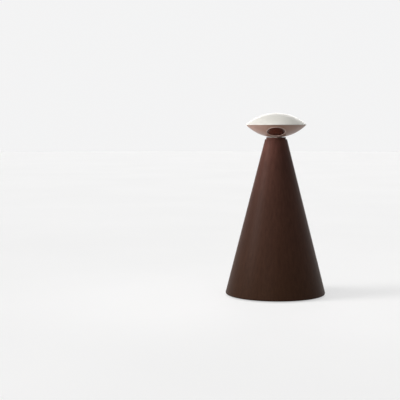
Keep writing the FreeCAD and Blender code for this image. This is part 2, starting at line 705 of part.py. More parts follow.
def gear_frame_lower():
    """Plate under the gears with three square pillars whose tenons lock the upper plate."""
    corners = [V(*polar(LOWER_PLATE_R, 360.0 * i / 12 + 15), LOWER_PLATE_Z[0]) for i in range(12)]
    plate = extruded(corners, V(0, 0, LOWER_PLATE_Z[1] - LOWER_PLATE_Z[0]))
    pillars = [pillar_block(a, PILLAR_HALF, LOWER_PLATE_Z[0], UPPER_PLATE_Z[0]) for a in PILLAR_ANGLES]
    tenons = [pillar_block(a, PILLAR_TENON, UPPER_PLATE_Z[0] - 1, UPPER_PLATE_Z[1] + 0.6)
              for a in PILLAR_ANGLES]
    cuts = [cylinder(TUBE_R, 115, 130), cylinder(MOTOR_BOSS_R, 115, 130, *MOTOR)]
    cuts += [grip_hole(AXLE_R, 115, 130, *place) for place in (IDLER1, IDLER2)]
    cuts += [screw_hole(1.1, 115, 130, polar(POST_CIRCLE_R, a)) for a in POST_ANGLES]
    return cut_all(joined([plate] + pillars + tenons), cuts)


def gear_frame_upper():
    """Eight-sided plate over the gears; its middle bore is the spindle's lower bearing."""
    corners = [V(*polar(UPPER_PLATE_R, 45.0 * i + 22.5), UPPER_PLATE_Z[0]) for i in range(8)]
    body = extruded(corners, V(0, 0, UPPER_PLATE_Z[1] - UPPER_PLATE_Z[0]))
    cuts = [turned(SPINDLE_R + RUN_GAP, 130, 150)]
    cuts += [grip_hole(AXLE_R, 130, 150, *place) for place in (IDLER1, IDLER2)]
    cuts += [pillar_block(a, PILLAR_TENON, 130, 150) for a in PILLAR_ANGLES]
    return cut_all(body, cuts)


def frame_screws():
    """Three screws up through the lower plate into the shell's posts."""
    return Part.makeCompound([screw(*polar(POST_CIRCLE_R, a), LOWER_PLATE_Z[0] - 1.4, 1.4, 130.0)
                              for a in POST_ANGLES])


def idler_axle(place):
    return turned(AXLE_R, LOWER_PLATE_Z[0], UPPER_PLATE_Z[1], *place)


def idler_gear(place, wheel_z, pinion_top, wheel_phase, pinion_phase):
    """Compound gear: a wheel with three windows, the pinion above it and a hub at each end."""
    wheel = gear(WHEEL_TEETH, -PROFILE_SHIFT, wheel_phase, place, wheel_z)
    pinion = gear(PINION_TEETH, PROFILE_SHIFT, pinion_phase, place, (wheel_z[1] - 0.2, pinion_top))
    hubs = cylinder(HUB_R, *IDLER_Z, *place, SCREW_SIDES)
    body = joined([wheel, pinion, hubs])
    cuts = [turned(AXLE_R + RUN_GAP, 115, 150, *place)]
    for i in range(WHEEL_WINDOWS):
        middle = 360.0 * i / WHEEL_WINDOWS
        start = V(place[0], place[1], wheel_z[0] - 1)
        corners = [(WINDOW_IN_R, -38), (WINDOW_OUT_R, -44), (WINDOW_OUT_R, 44), (WINDOW_IN_R, 38)]
        outline = [start + V(*polar(r, middle + a), 0) for r, a in corners]
        cuts.append(extruded(outline, V(0, 0, wheel_z[1] - wheel_z[0] + 0.8)))
    return cut_all(body, cuts)


def head_gear():
    """Largest gear, pressed on the spindle, with a hub that runs under the upper plate."""
    wheel = gear(HEAD_TEETH, -PROFILE_SHIFT, bearing((0, 0), IDLER2), (0, 0), HEAD_GEAR_Z)
    hub = cylinder(HEAD_HUB_R, HEAD_GEAR_Z[0], HEAD_HUB_Z)
    return joined([wheel, hub]).cut(grip_hole(SPINDLE_R, 120, 150, sides=PART_SIDES))


def half_tooth(teeth):
    return math.pi / teeth


def idler_gear_1():
    return idler_gear(IDLER1, WHEEL1_Z, PINION1_TOP_Z, bearing(IDLER1, MOTOR),
                      bearing(IDLER1, IDLER2) + half_tooth(PINION_TEETH))


def idler_gear_2():
    return idler_gear(IDLER2, WHEEL2_Z, PINION2_TOP_Z, bearing(IDLER2, IDLER1),
                      bearing(IDLER2, (0, 0)) + half_tooth(PINION_TEETH))


def motor_pinion():
    phase = bearing(MOTOR, IDLER1) + half_tooth(PINION_TEETH)
    body = gear(PINION_TEETH, PROFILE_SHIFT, phase, MOTOR, MOTOR_PINION_Z)
    return body.cut(grip_hole(SHAFT_R, 115, 135, *MOTOR))


def motor_shaft():
    return turned(SHAFT_R, 110.0, MOTOR_PINION_Z[1] + 0.4, *MOTOR)


def motor_can():
    """Round can with a front boss in the plate; open inside for the shaft's running end."""
    can = cylinder(MOTOR_R, *MOTOR_Z, *MOTOR)
    body = joined([can, cylinder(MOTOR_BOSS_R, MOTOR_Z[1] - 0.5, 122.6, *MOTOR)])
    return body.cut(turned(SHAFT_R + RUN_GAP, 109.0, 125, *MOTOR))


def motor_end_cap():
    body = cylinder(MOTOR_R - 0.5, END_CAP_Z, MOTOR_Z[0], *MOTOR)
    return joined([body, cylinder(2.2, END_CAP_Z - 1.2, END_CAP_Z + 0.5, *MOTOR)])


def motor_terminals():
    blades = []
    for side in (-1, 1):
        x = MOTOR[0] + side * TERMINAL_X
        blades.append(block(x - 0.25, x + 0.25, MOTOR[1] - 1.0, MOTOR[1] + 1.0,
                            END_CAP_Z - TERMINAL_LENGTH, END_CAP_Z))
    return Part.makeCompound(blades)


# ================= laser and cam =================
def laser_tube():
    """Fixed tube on the axis: a socket for the laser below, the light path through the spindle above."""
    plate_z = LOWER_PLATE_Z[0]
    body = joined([cylinder(SOCKET_R, SOCKET_Z[0], plate_z), cylinder(TUBE_FLANGE_R, SOCKET_Z[1], plate_z),
                   cylinder(TUBE_R, plate_z, TUBE_TOP_Z)])
    seat_z = BARREL_Z[1] + 1.0
    socket = cylinder(BARREL_R, SOCKET_Z[0] - 1, seat_z)
    return cut_all(body, [socket, cylinder(TUBE_BORE_R, seat_z - 1, 200)])


def laser_barrel():
    """Brass barrel with the lens seat in its upper end."""
    return cylinder(BARREL_R, *BARREL_Z).cut(cylinder(1.6, BARREL_Z[1] - 3.0, BARREL_Z[1] + 1))


def laser_lens():
    return cylinder(1.6, BARREL_Z[1] - 1.6, BARREL_Z[1] - 0.4)


def laser_driver_board():
    return block(-2.6, 2.6, -0.5, 0.5, DRIVER_BOARD_Z, BARREL_Z[0])


def face_cam():
    """Ring with shallow dips that sets how far the mirror's follower may drop."""
    body = ring(CAM_R, TUBE_BORE_R, TUBE_TOP_Z, CAM_TOP_Z)
    scoop_r = 7.0
    for lobe in range(CAM_LOBES):
        dx, dy = polar(1.0, 360.0 * lobe / CAM_LOBES + 30)
        start = V(dx, dy, CAM_TOP_Z - CAM_DIP + scoop_r)
        body = body.cut(Part.makeCylinder(scoop_r, 10.0, start, V(dx, dy, 0)))
    return body


# ================= head =================
def head_spindle():
    """Hollow shaft with the flange that carries the head."""
    low, high = SPINDLE_Z
    body = joined([turned(SPINDLE_R, low, high), cylinder(FLANGE_R, PAD_Z, high)])
    return body.cut(cylinder(SPINDLE_BORE_R, low - 1, high + 1))


def spindle_clip():
    """Open push-on ring that grips the spindle under the bushing."""
    bore = grip_hole(SPINDLE_R, CLIP_Z[0] - 1, CLIP_Z[1] + 1, sides=PART_SIDES)
    mouth = block(-3.0, 3.0, 0, 10, CLIP_Z[0] - 1, CLIP_Z[1] + 1)
    return cut_all(cylinder(CLIP_R, *CLIP_Z), [bore, mouth])


def bands(sphere_r, centre_z, radii, side):
    """Points of a sphere's profile at some radii; side is 1 above the centre and -1 below it."""
    return [(r, centre_z + side * math.sqrt(sphere_r ** 2 - r ** 2)) for r in radii]


def head_upper_shell():
    """Low dome with a sharp rim; pegs under it press into the bowl's sockets."""
    edge_z = SEAM_Z + RIM_EDGE
    rise = HEAD_TOP_Z - edge_z
    sphere_r = (HEAD_R ** 2 + rise ** 2) / (2 * rise)
    dome = bands(sphere_r, HEAD_TOP_Z - sphere_r, DOME_RADII, 1)
    outer = [(DOME_FLAT_R, HEAD_TOP_Z)] + dome + [(HEAD_R, edge_z), (HEAD_R, SEAM_Z)]
    filled = faceted(outer, HEAD_SIDES)
    body = filled.cut(faceted(DOME_INSIDE, INNER_SIDES))
    pegs = []
    for a in PEG_ANGLES:
        x, y = polar(PEG_CIRCLE_R, a)
        top = block(x - PEG_R, x + PEG_R, y - PEG_R, y + PEG_R, SEAM_Z, 203.0).common(filled)
        pegs.append(top.fuse(block(x - PEG_R, x + PEG_R, y - PEG_R, y + PEG_R, PEG_END_Z, SEAM_Z)))
    return joined([body] + pegs)


def head_lower_shell():
    """Bowl with a pad for the spindle flange, peg sockets and the round opening for the window."""
    hub_r = math.sqrt(BOWL_SPHERE_R ** 2 - (BOWL_CENTRE_Z - HUB_Z) ** 2)
    seam_r = math.sqrt(BOWL_SPHERE_R ** 2 - (BOWL_CENTRE_Z - SEAM_Z) ** 2)
    outer = bands(BOWL_SPHERE_R, BOWL_CENTRE_Z, (hub_r,) + BOWL_RADII + (seam_r,), -1)
    body = faceted(outer, HEAD_SIDES).cut(grip_hole(SPINDLE_R, HUB_Z - 1, 200, sides=PART_SIDES))
    body = body.cut(faceted(BOWL_INSIDE, INNER_SIDES))
    room = faceted(SOCKET_ROOM, INNER_SIDES)
    wall = PEG_R + SOCKET_WALL
    sockets = []
    cuts = [on_window(cylinder(BEZEL_R, -6.0, 3.0, sides=TRIM_SIDES))]
    for a in PEG_ANGLES:
        x, y = polar(PEG_CIRCLE_R, a)
        sockets.append(block(x - wall, x + wall, y - wall, y + wall, SOCKET_FOOT_Z, SEAM_Z).common(room))
        cuts.append(block(x - PEG_R, x + PEG_R, y - PEG_R, y + PEG_R, PEG_END_Z, 200.0))
    return cut_all(joined([body] + sockets), cuts)


def window_lens():
    """Smoked window, crowned outward."""
    crown = LENS_CROWN_W - LENS_EDGE_W
    sphere_r = (LENS_R ** 2 + crown ** 2) / (2 * crown)
    front = bands(sphere_r, LENS_CROWN_W - sphere_r, LENS_RADII + (LENS_R,), 1)
    return on_window(faceted(front + [(LENS_R, LENS_BACK_W)], TRIM_SIDES))


def window_bezel():
    return on_window(ring(BEZEL_R, LENS_R, *BEZEL_W, TRIM_SIDES, TRIM_SIDES))


def mirror_bracket():
    """Round foot on the spindle flange with two upright cheeks for the pivot pin."""
    pieces = [cylinder(BRACKET_R, *BRACKET_Z)]
    for side in (-1, 1):
        x0, x1 = sorted((side * CHEEK_X[0], side * CHEEK_X[1]))
        foot, shoulder, top = CHEEK_HALF_Y
        cheek = [(-foot, BRACKET_Z[0]), (foot, BRACKET_Z[0]), (shoulder, PIVOT_Z + 1), (top, PIVOT_Z + 2),
                 (-top, PIVOT_Z + 2), (-shoulder, PIVOT_Z + 1)]
        pieces.append(extruded([V(x0, y, z) for y, z in cheek], V(x1 - x0, 0, 0)))
    pin_hole = grip_hole(PIN_R, -15, 15)
    pin_hole.Placement = FreeCAD.Placement(V(0, 0, PIVOT_Z), FreeCAD.Rotation(Y_AXIS, 90))
    return cut_all(joined(pieces), [cylinder(BRACKET_HOLE_R, 180, 190), pin_hole])


def mirror_carrier():
    """Tilting plate with a pivot barrel behind it and a follower arm that reaches down to the cam."""
    plate = on_mirror(block(-MIRROR_HALF_X, MIRROR_HALF_X, -MIRROR_HALF_Y, MIRROR_HALF_Y, *PLATE_W))
    barrel = cylinder(CARRIER_BARREL_R, -CARRIER_BARREL_HALF, CARRIER_BARREL_HALF)
    barrel.Placement = FreeCAD.Placement(V(0, 0, PIVOT_Z), FreeCAD.Rotation(Y_AXIS, 90))
    arm = extruded([V(-ARM_HALF, y, z) for y, z in ARM_OUTLINE], V(2 * ARM_HALF, 0, 0))
    glass_room = on_mirror(block(-15, 15, -15, 15, PLATE_W[1], PLATE_W[1] + 5))
    body = joined([plate, barrel.cut(glass_room), arm.cut(glass_room)])
    return body.cut(Part.makeCylinder(PIN_R + RUN_GAP, 30, V(-15, 0, PIVOT_Z), X_AXIS))


def mirror_glass():
    """Glass on the carrier's plate, set back where the arm passes."""
    half_x = MIRROR_HALF_X - GLASS_EDGE
    half_y = MIRROR_HALF_Y - GLASS_EDGE
    return on_mirror(block(-half_x, half_x, 1.5 - half_y, half_y, PLATE_W[1], PLATE_W[1] + GLASS_THICK))


def mirror_pivot_pin():
    return Part.makeCylinder(PIN_R, 2 * CHEEK_X[1], V(-CHEEK_X[1], 0, PIVOT_Z), X_AXIS)


def mirror_leaf_spring():
    """Thin bent strip on the bracket's rear that presses the carrier towards the cam."""
    return extruded([V(-SPRING_HALF, y, z) for y, z in SPRING_OUTLINE], V(2 * SPRING_HALF, 0, 0))


def build():
    os.makedirs("parts", exist_ok=True)
    save("tower_shell", tower_shell())
    save("neck_collar", neck_collar())
    save("neck_bushing", neck_bushing())
    save("base_plate", base_plate())
    save("feet", Part.makeCompound([foot(angle) for angle in FOOT_ANGLES]))
    save("base_screws", base_screws())
    save("battery_door", battery_door())
    save("door_screw", door_screw())
    for index in range(4):
        save("battery_cell_%d" % (index + 1), battery_cell(index))
    terminals = [joined([contact(-1, [cell]), terminal_tail(y)]) for cell, y in zip((0, 3), TAIL_Y)]
    save("contact_terminals", Part.makeCompound(terminals))
    bridges = [contact(1, [0, 1]), contact(-1, [1, 2]), contact(1, [2, 3])]
    save("contact_bridges", Part.makeCompound(bridges))
    save("main_board", main_board())
    save("controller_chip", controller_chip())
    save("capacitor", capacitor())
    save("board_connectors", board_connectors())
    wires = [battery_lead(y) for y in TAIL_Y]
    save("leads", Part.makeCompound(wires + [motor_leads(), laser_leads(), control_leads()]))
    save("control_board", control_board())
    save("power_button", push_button(POWER_R, 0.0))
    save("mode_button", push_button(MODE_R, MODE_UP))
    save("power_switch", switch(0.0))
    save("mode_switch", switch(MODE_UP))
    save("light_pipe", light_pipe())
    save("status_led", status_led())
    save("gear_frame_lower", gear_frame_lower())
    save("gear_frame_upper", gear_frame_upper())
    save("frame_screws", frame_screws())
    save("idler_axles", Part.makeCompound([idler_axle(IDLER1), idler_axle(IDLER2)]))
    save("idler_gear_1", idler_gear_1())
    save("idler_gear_2", idler_gear_2())
    save("head_gear", head_gear())
    save("motor_can", motor_can())
    save("motor_end_cap", motor_end_cap())
    save("motor_terminals", motor_terminals())
    save("motor_shaft", motor_shaft())
    save("motor_pinion", motor_pinion())
    save("laser_tube", laser_tube())
    save("laser_barrel", laser_barrel())
    save("laser_lens", laser_lens())
    save("laser_driver_board", laser_driver_board())
    save("face_cam", face_cam())
    save("head_spindle", head_spindle())
    save("spindle_clip", spindle_clip())
    save("head_upper_shell", head_upper_shell())
    save("head_lower_shell", head_lower_shell())
    save("window_lens", window_lens())
    save("window_bezel", window_bezel())
    save("mirror_bracket", mirror_bracket())
    save("mirror_carrier", mirror_carrier())
    save("mirror_glass", mirror_glass())
    save("mirror_pivot_pin", mirror_pivot_pin())
    save("mirror_leaf_spring", mirror_leaf_spring())


build()
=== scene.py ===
import json
import math

import bmesh
import bpy
from mathutils import Matrix, Vector


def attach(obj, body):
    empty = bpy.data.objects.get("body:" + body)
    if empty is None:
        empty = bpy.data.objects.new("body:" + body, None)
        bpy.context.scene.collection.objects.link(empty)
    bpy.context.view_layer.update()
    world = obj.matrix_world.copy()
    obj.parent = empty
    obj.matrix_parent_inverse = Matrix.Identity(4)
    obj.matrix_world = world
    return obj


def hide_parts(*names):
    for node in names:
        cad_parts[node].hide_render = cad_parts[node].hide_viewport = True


# Looks of the automatic cat laser toy: a dark brown cone and a pearl, lens-shaped head with a smoked window.
# The row frame is in metres, with +Z up and the toy's front towards -Y. Shapes are written in millimetres and
# brought to metres as their meshes are made.

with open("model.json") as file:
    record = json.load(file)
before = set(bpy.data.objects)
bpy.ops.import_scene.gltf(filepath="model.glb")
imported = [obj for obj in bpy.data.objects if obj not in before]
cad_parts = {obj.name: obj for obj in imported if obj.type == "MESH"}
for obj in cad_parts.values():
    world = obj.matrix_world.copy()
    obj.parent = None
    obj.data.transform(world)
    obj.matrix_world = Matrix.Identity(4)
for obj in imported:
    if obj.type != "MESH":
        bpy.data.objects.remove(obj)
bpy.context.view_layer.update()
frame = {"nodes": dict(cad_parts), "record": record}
NODES = frame["nodes"]
MM = 0.001
# a radius in mm that counts as none, and a distance in metres at which points are merged
ON_AXIS, SAME_POINT = 1e-6, 1e-7

# cone: radius and height of its sharp foot rim, inward run per mm of height, top, and wall and roof thickness
RIM_R, RIM_Z, SLOPE, TOP_Z = 57.5, 1.2, 0.2535, 178.5
TILT = math.atan(SLOPE)
WALL, ROOF = 2.4, 2.9
# rebate round the base plate, hole for the bushing, and collar
REBATE_R, REBATE_TOP = 54.5, 3.8
BUSHING_R, COLLAR_R, COLLAR_TOP = 6.6, 11.2, 180.8
# controls on the rear wall: height of the lowest, then name, CAD node, radius and distance up the wall
CONTROL_Z = 34.0
BUTTONS = (("power", "power_button", 5.5, 0.0), ("mode", "mode_button", 4.0, 16.0))
# gap round a button, and the light pipe's radius and distance up the wall
BUTTON_GAP = 0.15
PIPE_R, PIPE_UP = 1.6, 27.0
# underside: angles and circles of the feet and of the base screws, place of the door's screw in plan, and
# height at which the screws begin
FOOT_ANGLES, FOOT_CIRCLE = (30, 150, 210, 330), 47.0
SCREW_ANGLES, SCREW_CIRCLE = (60, 180, 300), 48.5
DOOR_SCREW_PLACE = (0, 35.5)
SCREW_Z = 1.5
# head: rim, top and foot of the dome's curve, then the bowl's sphere, its hub and the seam under the rim
HEAD_R, HEAD_TOP, DOME_Z = 34.5, 208.3, 195.2
BOWL_R, BOWL_Z, HUB_Z, SEAM_Z = 48.285, 228.785, 181.35, 194.7
# window: degrees forward from straight down, radius of the glass, and of the lip in its opening
WINDOW_TILT, LENS_R, LIP_R = 29.0, 9.9, 10.5


# ---------------------------------------------------------------- outlines and places
def cone_r(z):
    """Radius of the cone's outside at a height."""
    return RIM_R - SLOPE * (z - RIM_Z)


def rounded(corners, steps):
    """Outline in (r, z) points from corners of (r, z, rounding radius); a radius of 0 keeps a corner sharp."""
    points = [Vector(corner[:2]) for corner in corners]
    out = []
    for i, here in enumerate(points):
        radius = corners[i][2]
        if radius <= 0:
            out.append(tuple(here))
            continue
        before = (points[i - 1] - here).normalized()
        after = (points[(i + 1) % len(points)] - here).normalized()
        half = before.angle(after) / 2
        reach = radius / math.tan(half)
        centre = here + (before + after).normalized() * (radius / math.sin(half))
        start = here + before * reach - centre
        turn = start.angle_signed(here + after * reach - centre)
        for k in range(steps + 1):
            a = turn * k / steps
            c, s = math.cos(-a), math.sin(-a)
            out.append((centre.x + start.x * c - start.y * s, centre.y + start.x * s + start.y * c))
    return out


def plug(radius, low, high):
    """Outline of a plain cylinder."""
    return [(0, low), (radius, low), (radius, high), (0, high)]


def sphere_outline(radius, centre, r0, r1, side, steps):
    """Points along a sphere's profile from r0 to r1, on its upper side (1) or its lower side (-1)."""
    a0, a1 = math.asin(r0 / radius), math.asin(r1 / radius)
    out = []
    for k in range(steps + 1):
        a = a0 + (a1 - a0) * k / steps
        out.append((radius * math.sin(a), centre + side * radius * math.cos(a)))
    return out


def wall_place(up):
    """Frame on the rear wall, some distance up it from the lowest control: +Z points outward, x stays x."""
    foot = Vector((0, cone_r(CONTROL_Z), CONTROL_Z)) + Vector((0, -math.sin(TILT), math.cos(TILT))) * up
    return Matrix.Translation(foot * MM) @ Matrix.Rotation(TILT - math.pi / 2, 4, "X")


def window_place():
    """Frame on the window in the bowl's front: +Z points outward."""
    tilt = math.radians(WINDOW_TILT)
    centre = Vector((0, -BOWL_R * math.sin(tilt), BOWL_Z - BOWL_R * math.cos(tilt)))
    return Matrix.Translation(centre * MM) @ Matrix.Rotation(math.pi - tilt, 4, "X")


# ---------------------------------------------------------------- meshes
def smooth(bm, sharp):
    """Smooth every face, and keep the edges sharp that fold by more than some degrees."""
    for face in bm.faces:
        face.smooth = True
    for edge in bm.edges:
        edge.smooth = len(edge.link_faces) != 2 or edge.calc_face_angle(0.0) < math.radians(sharp)


def finish_mesh(name, bm, sharp=32.0):
    """Object from a bmesh, smooth shaded, with sharp edges kept."""
    bmesh.ops.remove_doubles(bm, verts=bm.verts, dist=SAME_POINT)
    bmesh.ops.recalc_face_normals(bm, faces=bm.faces)
    smooth(bm, sharp)
    mesh = bpy.data.meshes.new(name)
    bm.to_mesh(mesh)
    bm.free()
    obj = bpy.data.objects.new(name, mesh)
    bpy.context.scene.collection.objects.link(obj)
    return obj


def lathe(name, outline, segments, place=None, sharp=32.0):
    """Closed solid turned from an outline of (r, z) points about +Z, then carried by place."""
    bm = bmesh.new()
    rings = []
    for r, z in outline:
        if r < ON_AXIS:
            rings.append([bm.verts.new((0, 0, z * MM))])
            continue
        ring = []
        for i in range(segments):
            a = 2 * math.pi * i / segments
            ring.append(bm.verts.new((r * MM * math.cos(a), r * MM * math.sin(a), z * MM)))
        rings.append(ring)
    for lower, upper in zip(rings, rings[1:] + rings[:1]):
        if len(lower) == 1 and len(upper) == 1:
            continue
        for i in range(segments):
            j = (i + 1) % segments
            quad = [lower[i % len(lower)], lower[j % len(lower)], upper[j % len(upper)], upper[i % len(upper)]]
            corners = []
            for v in quad:
                if v not in corners:
                    corners.append(v)
            bm.faces.new(corners)
    if place is not None:
        bm.transform(place)
    return finish_mesh(name, bm, sharp)


def cut(obj, tools, sharp=32.0):
    """Take the tools away from a solid, and keep only the result."""
    for tool in tools:
        step = obj.modifiers.new("cut", "BOOLEAN")
        step.operation = "DIFFERENCE"
        step.solver = "EXACT"
        step.object = tool
    bpy.context.view_layer.update()
    done = bpy.data.meshes.new_from_object(obj.evaluated_get(bpy.context.evaluated_depsgraph_get()))
    obj.modifiers.clear()
    bm = bmesh.new()
    bm.from_mesh(done)
    bm.normal_update()
    smooth(bm, sharp)
    bm.to_mesh(obj.data)
    bm.free()
    bpy.data.meshes.remove(done)
    for tool in tools:
        bpy.data.objects.remove(tool)
    return obj


# ---------------------------------------------------------------- shader nodes
def material(name):
    """New material with its nodes, links and shader."""
    mat = bpy.data.materials.new(name)
    mat.use_nodes = True
    tree = mat.node_tree
    return mat, tree.nodes, tree.links, tree.nodes["Principled BSDF"]


def linear(rgb):
    """Colour given as 0 to 255 on screen, as the shader wants it."""
    out = [c / 12.92 if c <= 0.04045 else ((c + 0.055) / 1.055) ** 2.4 for c in (v / 255 for v in rgb)]
    return (*out, 1.0)


def coords(nodes, links, scale):
    """Object coordinates scaled per axis; the pieces keep the row frame's metres."""
    where = nodes.new("ShaderNodeTexCoord")
    stretch = nodes.new("ShaderNodeMapping")
    stretch.inputs["Scale"].default_value = scale
    links.new(where.outputs["Object"], stretch.inputs["Vector"])
    return stretch.outputs["Vector"]


def noise(nodes, links, scale, detail, rough=0.5, stretch=(1, 1, 1)):
    made = nodes.new("ShaderNodeTexNoise")
    made.inputs["Scale"].default_value = scale
    made.inputs["Detail"].default_value = detail
    made.inputs["Roughness"].default_value = rough
    links.new(coords(nodes, links, stretch), made.inputs["Vector"])
    return made.outputs["Fac"]


def ring_lines(nodes, links, scale):
    """Uneven rings round the object's upright axis, as a turned and lacquered surface shows."""
    where = nodes.new("ShaderNodeTexCoord")
    plan = nodes.new("ShaderNodeVectorMath")
    plan.operation = "MULTIPLY"
    plan.inputs[1].default_value = (1, 1, 0)
    links.new(where.outputs["Object"], plan.inputs[0])
    reach = nodes.new("ShaderNodeVectorMath")
    reach.operation = "LENGTH"
    links.new(plan.outputs["Vector"], reach.inputs[0])
    made = nodes.new("ShaderNodeTexNoise")
    made.noise_dimensions = "1D"
    made.inputs["Scale"].default_value = scale
    made.inputs["Detail"].default_value = 3.0
    links.new(reach.outputs["Value"], made.inputs["W"])
    return made.outputs["Fac"]


def spread(nodes, links, value, low, high, from_low=0.3, from_high=0.7):
    """Bring a range of values, by default a texture's middle range, to the range between low and high."""
    made = nodes.new("ShaderNodeMapRange")
    made.inputs["From Min"].default_value = from_low
    made.inputs["From Max"].default_value = from_high
    made.inputs["To Min"].default_value = low
    made.inputs["To Max"].default_value = high
    links.new(value, made.inputs["Value"])
    return made.outputs["Result"]


def blend_colour(nodes, links, factor, dark, light):
    """Colour between two, by a factor from 0 to 1."""
    made = nodes.new("ShaderNodeMix")
    made.data_type = "RGBA"
    made.inputs["A"].default_value = dark
    made.inputs["B"].default_value = light
    links.new(factor, made.inputs["Factor"])
    return made.outputs["Result"]


def multiply_colour(nodes, links, colour, tone):
    made = nodes.new("ShaderNodeMix")
    made.data_type = "RGBA"
    made.blend_type = "MULTIPLY"
    made.inputs["Factor"].default_value = 1.0
    links.new(colour, made.inputs["A"])
    links.new(tone, made.inputs["B"])
    return made.outputs["Result"]


def bump(nodes, links, bsdf, height, strength, distance):
    made = nodes.new("ShaderNodeBump")
    made.inputs["Strength"].default_value = strength
    made.inputs["Distance"].default_value = distance
    links.new(height, made.inputs["Height"])
    links.new(made.outputs["Normal"], bsdf.inputs["Normal"])


def pale(nodes, links):
    """1 where the camera, a reflection or a refraction looks, and 0 for every other ray."""
    path = nodes.new("ShaderNodeLightPath")
    seen = path.outputs["Is Camera Ray"]
    for ray in ("Is Glossy Ray", "Is Transmission Ray"):
        most = nodes.new("ShaderNodeMath")
        most.operation = "MAXIMUM"
        links.new(seen, most.inputs[0])
        links.new(path.outputs[ray], most.inputs[1])
        seen = most.outputs[0]
    return seen


# ---------------------------------------------------------------- finishes
def moulded(name, dark, light, rough, patch=60.0, grain=2500.0, depth=0.00004, strength=0.25,
            stretch=(1, 1, 1), metallic=0.0, coat=0.0, specular=0.5):
    """Moulded or painted plastic: slow colour change, fine grain and slightly uneven gloss."""
    mat, nodes, links, bsdf = material(name)
    slow = noise(nodes, links, patch, detail=4.0, rough=0.55, stretch=stretch)
    links.new(blend_colour(nodes, links, spread(nodes, links, slow, 0.0, 1.0), linear(dark), linear(light)),
              bsdf.inputs["Base Color"])
    fine = noise(nodes, links, grain, detail=2.0, rough=0.6, stretch=stretch)
    links.new(spread(nodes, links, fine, rough[0], rough[1]), bsdf.inputs["Roughness"])
    bump(nodes, links, bsdf, fine, strength=strength, distance=depth)
    bsdf.inputs["Metallic"].default_value = metallic
    bsdf.inputs["Coat Weight"].default_value = coat
    bsdf.inputs["Coat Roughness"].default_value = 0.12
    bsdf.inputs["Specular IOR Level"].default_value = specular
    return mat


def brushed_brown(name):
    """Satin brown lacquer with fine upright lines. A colour change with painted shade makes it darker and
    yellower towards the foot and redder towards the top, and painted light lightens it at its neck.
    """
    mat = moulded(name, (61, 40, 32), (71, 48, 39), (0.42, 0.52), patch=420.0, grain=3200.0, depth=0.00003,
                  strength=0.15, stretch=(1, 1, 0.02), specular=0.07)
    nodes, links = mat.node_tree.nodes, mat.node_tree.links
    base = nodes["Principled BSDF"].inputs["Base Color"]
    colour = base.links[0].from_socket
    where = nodes.new("ShaderNodeTexCoord")
    axes = nodes.new("ShaderNodeSeparateXYZ")
    links.new(where.outputs["Object"], axes.inputs[0])
    # lower and upper height, how the tone changes between them, and the tone at each; over the whole height a
    # colour change with painted shade that darkens the foot
    tint_and_painted_shade = (0.0, TOP_Z, "LINEAR", (0.70, 0.66, 0.49, 1), (1.10, 0.98, 1.04, 1))
    # painted light: the neck is lightened where the head's shadow falls on the cone's top
    neck = (145.0, 172.0, "SMOOTHSTEP", (1, 1, 1, 1), (1.45, 1.45, 1.48, 1))
    for low, high, change, at_low, at_high in (tint_and_painted_shade, neck):
        height = spread(nodes, links, axes.outputs["Z"], 0.0, 1.0, from_low=low * MM, from_high=high * MM)
        height.node.interpolation_type = change
        tone = blend_colour(nodes, links, height, at_low, at_high)
        colour = multiply_colour(nodes, links, colour, tone)
    links.new(colour, base)
    return mat


def lacquered(name, dark, light, rough, metallic, coat, specular=0.5):
    """Pearl lacquer on a turned form: faint rings, a slow shimmer and a thin clear coat."""
    rings_share, shimmer_share = 0.6, 0.4
    mat, nodes, links, bsdf = material(name)
    lines = ring_lines(nodes, links, scale=900.0)
    slow = noise(nodes, links, scale=70.0, detail=3.0)
    both = nodes.new("ShaderNodeMath")
    both.operation = "MULTIPLY_ADD"
    both.inputs[1].default_value = rings_share
    links.new(lines, both.inputs[0])
    links.new(spread(nodes, links, slow, 0.0, shimmer_share), both.inputs[2])
    factor = spread(nodes, links, both.outputs[0], 0.0, 1.0, from_low=0.2, from_high=0.8)
    links.new(blend_colour(nodes, links, factor, linear(dark), linear(light)), bsdf.inputs["Base Color"])
    links.new(spread(nodes, links, lines, rough[0], rough[1]), bsdf.inputs["Roughness"])
    bump(nodes, links, bsdf, lines, strength=0.12, distance=0.00002)
    bsdf.inputs["Metallic"].default_value = metallic
    bsdf.inputs["Coat Weight"].default_value = coat
    bsdf.inputs["Coat Roughness"].default_value = 0.15
    bsdf.inputs["Specular IOR Level"].default_value = specular
    return mat


def metal(name, dark, light, rough=(0.25, 0.4), stretch=(1, 1, 12)):
    """Metal with fine level lines, as turning leaves them; a stretch of 1 on each axis leaves them out."""
    return moulded(name, dark, light, rough, patch=400.0, grain=1800.0, depth=0.00002, strength=0.2,
                   stretch=stretch, metallic=1.0)


def clear(name, tint, rough, dust=0.02, through=1.0, ior=1.49):
    """See-through plastic or glass with a little uneven polish."""
    mat, nodes, links, bsdf = material(name)
    slow = noise(nodes, links, scale=90.0, detail=3.0)
    links.new(spread(nodes, links, slow, rough, rough + dust), bsdf.inputs["Roughness"])
    darker = [c * 0.93 for c in tint]
    links.new(blend_colour(nodes, links, spread(nodes, links, slow, 0.0, 1.0), linear(darker), linear(tint)),
              bsdf.inputs["Base Color"])
    bsdf.inputs["Transmission Weight"].default_value = through
    bsdf.inputs["IOR"].default_value = ior
    return mat


